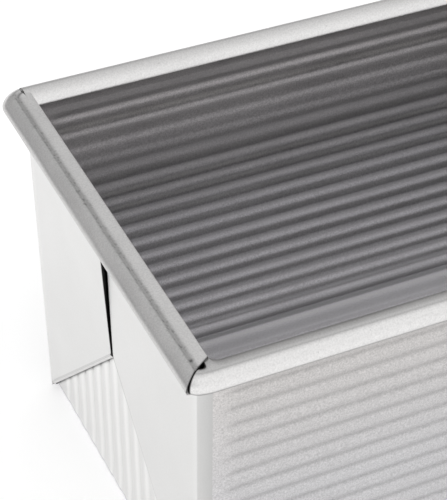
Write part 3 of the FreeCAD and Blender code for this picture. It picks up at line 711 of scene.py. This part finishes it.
def cover_sheet(name):
    """The cover's flat and its two curled edges, one folded sheet."""
    inner_r = ROLL_OUT + COVER_PLAY
    outer_r = inner_r + SHEET
    curl = np.linspace(CURL_FROM, CURL_TO, 26)
    flat = np.linspace(-WIRE_Y, WIRE_Y, 330)[1:-1]
    half = (COVER_RIGHT - COVER_LEFT) / 2
    x = (COVER_LEFT + COVER_RIGHT) / 2 + graded(half, fine=14, reach=14.0, middle=30)
    rib = RIB_HEIGHT * ridge(floor_phase(flat), RIB_POWER)
    rib = rib * ease(FLOOR_REACH - np.abs(flat), *RIB_EDGE_SPAN)
    fade = ease(np.minimum(x - COVER_LEFT, COVER_RIGHT - x), *COVER_SPAN)
    plain = np.zeros(len(curl))

    def surface(radius, level):
        edge_y = WIRE_Y - radius * np.cos(curl)
        edge_z = AXIS_Z + radius * np.sin(curl)
        y = np.concatenate([-edge_y, flat, edge_y[::-1]])
        low = np.concatenate([edge_z, np.full(len(flat), level), edge_z[::-1]])
        lift = np.concatenate([plain, rib, plain])
        z = low[None, :] + fade[:, None] * lift[None, :]
        return np.stack(np.broadcast_arrays(x[:, None], y[None, :], z), -1)

    return shell(name, (surface(inner_r, COVER_UNDER), surface(outer_r, COVER_UNDER + SHEET), 1.0, 1.0))


def cover_lip(name):
    """The cover's turned-down end."""
    top = COVER_UNDER + SHEET
    turn = np.linspace(0, math.pi / 2, 8)
    drop = np.linspace(LIP_STRAIGHT, LIP_HEIGHT, 12)
    across = np.linspace(-1, 1, 60)
    half = WIRE_Y - SEAM

    def surface(radius):
        hanging = np.full(len(drop), COVER_RIGHT + radius)
        x = np.concatenate([[COVER_RIGHT - LIP_LAP], COVER_RIGHT + radius * np.sin(turn), hanging])
        z = np.concatenate([[top - SHEET + radius], top - SHEET + radius * np.cos(turn), top - drop])
        corner = ease(top - z, LIP_HEIGHT - LIP_CORNER_RISE, LIP_HEIGHT)
        y = across[None, :] * (half - LIP_CORNER * corner ** 2)[:, None]
        return np.stack(np.broadcast_arrays(x[:, None], y, z[:, None]), -1)

    return shell(name, (surface(LIP_TURN), surface(SHEET), 1.0, 1.0))


# Steel: texture scales per metre, spans of the textures' values, and a span of height in metres.
SPANGLE_SCALE = 2600.0
SPANGLE_DETAIL = 3.0
SMEAR_SCALE = 45.0
SMEAR_DETAIL = 4.0
SPECK_SCALE = 520.0
SPECK_DETAIL = 3.0
TEXTURE_SPAN = (0.3, 0.7)
SPECK_SPAN = (0.72, 0.78)
SPECK_TONE = (0.10, 0.09, 0.08, 1)
WARM_SPAN = (0.045, 0.085)
ROUGH_SPREAD = 0.05
BUMP_STRENGTH = 0.12
BUMP_DEPTH = 0.00004


def steel(name, tone, rough, grain, speck=0.0, shaded=True, metal=1.0, warm=None):
    """Aluminised sheet steel: satin metal with a fine spangle, faint smears and a few dark specks.

    warm tints the metal towards the rim, and shaded multiplies it by the shade of each point, which is
    mostly painted light and shade and in a few places real marks.
    """
    material = bpy.data.materials.new(name)
    material.use_nodes = True
    nodes = material.node_tree.nodes
    links = material.node_tree.links
    place = nodes.new("ShaderNodeTexCoord").outputs["Object"]

    def put(value, socket):
        """Link a socket to another node's output, or set it to a plain value."""
        if isinstance(value, bpy.types.NodeSocket):
            links.new(value, socket)
        else:
            socket.default_value = value

    def texture(scale, detail):
        item = nodes.new("ShaderNodeTexNoise")
        item.inputs["Scale"].default_value = scale
        item.inputs["Detail"].default_value = detail
        links.new(place, item.inputs["Vector"])
        return item.outputs["Fac"]

    def spread(value, span, low, high):
        item = nodes.new("ShaderNodeMapRange")
        item.inputs["From Min"].default_value = span[0]
        item.inputs["From Max"].default_value = span[1]
        item.inputs["To Min"].default_value = low
        item.inputs["To Max"].default_value = high
        links.new(value, item.inputs["Value"])
        return item.outputs["Result"]

    def blend(way, first, second, factor):
        item = nodes.new("ShaderNodeMix")
        item.data_type = "RGBA"
        item.blend_type = way
        put(first, item.inputs["A"])
        put(second, item.inputs["B"])
        put(factor, item.inputs["Factor"])
        return item.outputs["Result"]

    spangle = texture(SPANGLE_SCALE, SPANGLE_DETAIL)
    smears = texture(SMEAR_SCALE, SMEAR_DETAIL)
    dark = (*[value * (1 - grain) for value in tone], 1)
    light = (*[min(1, value * (1 + grain)) for value in tone], 1)
    colour = blend("MIX", dark, light, spread(spangle, TEXTURE_SPAN, 0.0, 1.0))
    if warm is not None:
        height = nodes.new("ShaderNodeSeparateXYZ")
        links.new(place, height.inputs["Vector"])
        colour = blend("MULTIPLY", colour, (*warm, 1), spread(height.outputs["Z"], WARM_SPAN, 0.0, 1.0))
    if speck > 0:
        specks = spread(texture(SPECK_SCALE, SPECK_DETAIL), SPECK_SPAN, 0.0, speck)
        colour = blend("MIX", colour, SPECK_TONE, specks)
    if shaded:
        # The shade of each point: mostly painted light and shade, and a few real marks.
        painted_shade_and_marks = nodes.new("ShaderNodeAttribute")
        painted_shade_and_marks.attribute_name = "shade"
        colour = blend("MULTIPLY", colour, painted_shade_and_marks.outputs["Fac"], 1.0)
    bump = nodes.new("ShaderNodeBump")
    bump.inputs["Strength"].default_value = BUMP_STRENGTH
    bump.inputs["Distance"].default_value = BUMP_DEPTH
    links.new(spangle, bump.inputs["Height"])
    shader = nodes["Principled BSDF"]
    shader.inputs["Metallic"].default_value = metal
    roughness = spread(smears, TEXTURE_SPAN, rough - ROUGH_SPREAD, rough + ROUGH_SPREAD)
    links.new(colour, shader.inputs["Base Color"])
    links.new(roughness, shader.inputs["Roughness"])
    links.new(bump.outputs["Normal"], shader.inputs["Normal"])
    return material


sheet_steel = steel("aluminised_sheet", (0.742, 0.739, 0.732), rough=0.34, grain=0.02)
# The ribbed walls are the same sheet as the ears; their darker tone is painted shade.
ribbed_steel = steel("ribbed_sheet_painted_shade", (0.638, 0.631, 0.642), rough=0.38, grain=0.18, warm=(1.0, 0.98, 0.95))
# The floor is rougher and less metallic than the walls; its lighter tone is painted light.
floor_steel = steel("floor_sheet", (0.80, 0.79, 0.815), rough=0.55, grain=0.12, metal=0.75)
rim_steel = steel("aluminised_rim", (0.745, 0.737, 0.732), rough=0.33, grain=0.09, speck=0.4)
wire_steel = steel("drawn_wire", (0.45, 0.44, 0.43), rough=0.4, grain=0.05, shaded=False)

# The two splits of a rim differ, and so does how far the two ears of an end stand off.
# The opposite rim or end has the same values, a half turn round the pan.
SPLITS = {-1: (MITRE, SQUARE), 1: (SQUARE, MITRE)}
STAND_WIDE = 1.3
STAND_CLOSE = 0.25


def keep(piece, body, slot, material, *nodes):
    """Set a piece on its body, give it its finish and let it stand for its solids."""
    piece.data.materials.clear()
    piece.data.materials.append(material)
    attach(piece, body)
    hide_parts(*nodes)


keep(floor_sheet("floor_sheet"), "pan", "pan_sheet", floor_steel, "floor_panel")
for label, sign in (("front", -1), ("back", 1)):
    keep(long_wall(label + "_wall_sheet", sign), "pan", "pan_sheet", ribbed_steel, label + "_wall")
    keep(long_rim(label + "_rim_roll", sign, *SPLITS[sign]), "pan", "pan_sheet", rim_steel, label + "_rim")
for label, sign in (("left", -1), ("right", 1)):
    keep(end_wall(label + "_end_sheet", sign), "pan", "pan_sheet", sheet_steel, label + "_end_wall")
    keep(end_rim(label + "_rim_roll", sign, *SPLITS[sign]), "pan", "pan_sheet", rim_steel, label + "_rim")
    for across, side in (("front", -1), ("back", 1)):
        stand = STAND_WIDE if side * sign < 0 else STAND_CLOSE
        name = across + "_" + label + "_ear"
        keep(ear(name + "_fold", sign, side, stand), "pan", "pan_sheet", sheet_steel, name)
keep(cover_sheet("cover_sheet"), "cover", "cover_sheet", sheet_steel,
     "cover_panel", "cover_front_channel", "cover_back_channel")
keep(cover_lip("cover_lip"), "cover", "cover_sheet", sheet_steel, "cover_end_lip")

# The wire shows as its solid, inside the rolls.
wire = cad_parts["rim_wire"]
wire.data.materials.clear()
wire.data.materials.append(wire_steel)

# Stage, in metres.
FLOOR_SIZE = 6.0
FLOOR_TONE = (0.9, 0.9, 0.9, 1)
FLOOR_LIFT = 0.37
SKY_FACING = (0.12, -0.4, 0.3)
SKY_MIDDLE = 0.5
SKY_LEVELS = ((0.28, 0.42), (0.34, 0.48), (0.44, 0.68), (0.58, 0.70), (0.80, 0.90), (0.90, 1.06))
LAMP_PLACE = (-3.2, 0.5, 2.2)
LAMP_AIM = (-0.1, 0, 0.05)
LAMP_SIZE = 2.6
LAMP_WATTS = 8


def seen_rays(tree):
    """1 for rays from the camera, from mirrors and through glass, else 0."""
    path = tree.nodes.new("ShaderNodeLightPath")
    value = path.outputs["Is Camera Ray"]
    for kind in ("Is Glossy Ray", "Is Transmission Ray"):
        larger = tree.nodes.new("ShaderNodeMath")
        larger.operation = "MAXIMUM"
        tree.links.new(value, larger.inputs[0])
        tree.links.new(path.outputs[kind], larger.inputs[1])
        value = larger.outputs["Value"]
    return value


def studio_floor():
    """A white floor that also looks white to the camera and in the metal, but keeps the shadow."""
    bpy.ops.mesh.primitive_plane_add(size=FLOOR_SIZE, location=(0, 0, 0))
    plane = bpy.context.object
    plane.name = "studio_floor"
    white = bpy.data.materials.new("studio_white")
    white.use_nodes = True
    tree = white.node_tree
    tree.nodes.clear()
    output = tree.nodes.new("ShaderNodeOutputMaterial")
    matte = tree.nodes.new("ShaderNodeBsdfDiffuse")
    matte.inputs["Color"].default_value = FLOOR_TONE
    lift = tree.nodes.new("ShaderNodeEmission")
    scaled = tree.nodes.new("ShaderNodeMath")
    scaled.operation = "MULTIPLY"
    scaled.inputs[1].default_value = FLOOR_LIFT
    tree.links.new(seen_rays(tree), scaled.inputs[0])
    tree.links.new(scaled.outputs["Value"], lift.inputs["Strength"])
    total = tree.nodes.new("ShaderNodeAddShader")
    tree.links.new(matte.outputs["BSDF"], total.inputs[0])
    tree.links.new(lift.outputs["Emission"], total.inputs[1])
    tree.links.new(total.outputs["Shader"], output.inputs["Surface"])
    plane.data.materials.append(white)
    return plane


def studio_sky():
    """A plain sky, brightest above and in front of the pan and dimmer behind it, white to the camera."""
    world = bpy.data.worlds.new("studio")
    bpy.context.scene.world = world
    world.use_nodes = True
    tree = world.node_tree
    ways = tree.nodes.new("ShaderNodeTexCoord")
    facing = tree.nodes.new("ShaderNodeVectorMath")
    facing.operation = "DOT_PRODUCT"
    facing.inputs[1].default_value = SKY_FACING
    middle = tree.nodes.new("ShaderNodeMath")
    middle.operation = "ADD"
    middle.inputs[1].default_value = SKY_MIDDLE
    ramp = tree.nodes.new("ShaderNodeValToRGB")
    marks = ramp.color_ramp.elements
    while len(marks) < len(SKY_LEVELS):
        marks.new(SKY_MIDDLE)
    for mark, (place, level) in zip(marks, SKY_LEVELS):
        mark.position = place
        mark.color = (level, level, level, 1)
    direct = tree.nodes.new("ShaderNodeLightPath")
    blend = tree.nodes.new("ShaderNodeMix")
    blend.data_type = "RGBA"
    blend.inputs["B"].default_value = (1, 1, 1, 1)
    tree.links.new(ways.outputs["Generated"], facing.inputs[0])
    tree.links.new(facing.outputs["Value"], middle.inputs[0])
    tree.links.new(middle.outputs["Value"], ramp.inputs["Fac"])
    tree.links.new(direct.outputs["Is Camera Ray"], blend.inputs["Factor"])
    tree.links.new(ramp.outputs["Color"], blend.inputs["A"])
    tree.links.new(blend.outputs["Result"], tree.nodes["Background"].inputs["Color"])


def studio_lamp():
    """One wide soft lamp pointed at the pan."""
    light = bpy.data.lights.new("key", "AREA")
    light.shape = "RECTANGLE"
    light.size = LAMP_SIZE
    light.size_y = LAMP_SIZE
    light.energy = LAMP_WATTS
    lamp = bpy.data.objects.new("key", light)
    lamp.location = LAMP_PLACE
    lamp.rotation_euler = (Vector(LAMP_AIM) - Vector(LAMP_PLACE)).to_track_quat("-Z", "Y").to_euler()
    bpy.context.scene.collection.objects.link(lamp)


floor = studio_floor()
studio_sky()
studio_lamp()

# Camera fitted to the photograph: place in metres, directions, lens and sensor in millimetres.
CAMERA_PLACE = (-0.2979, -0.3204, 0.3770)
CAMERA_RIGHT = (0.90415, -0.42632, 0.02712)
CAMERA_DOWN = (-0.25562, -0.59081, -0.76522)
CAMERA_AHEAD = (0.34226, 0.68494, -0.64316)
CAMERA_LENS = 144.07
CAMERA_SENSOR = 36.0


def photo_camera():
    """The camera, standing where the photograph was taken."""
    camera = bpy.data.cameras.new("photo_camera")
    camera.sensor_fit = "AUTO"
    camera.sensor_width = CAMERA_SENSOR
    camera.lens = CAMERA_LENS
    eye = bpy.data.objects.new("photo_camera", camera)
    axes = Matrix((Vector(CAMERA_RIGHT), -Vector(CAMERA_DOWN), -Vector(CAMERA_AHEAD))).transposed()
    eye.matrix_world = Matrix.Translation(Vector(CAMERA_PLACE)) @ axes.to_4x4()
    bpy.context.scene.collection.objects.link(eye)
    return eye


bpy.context.scene.camera = photo_camera()
bpy.context.scene.view_settings.view_transform = "Standard"
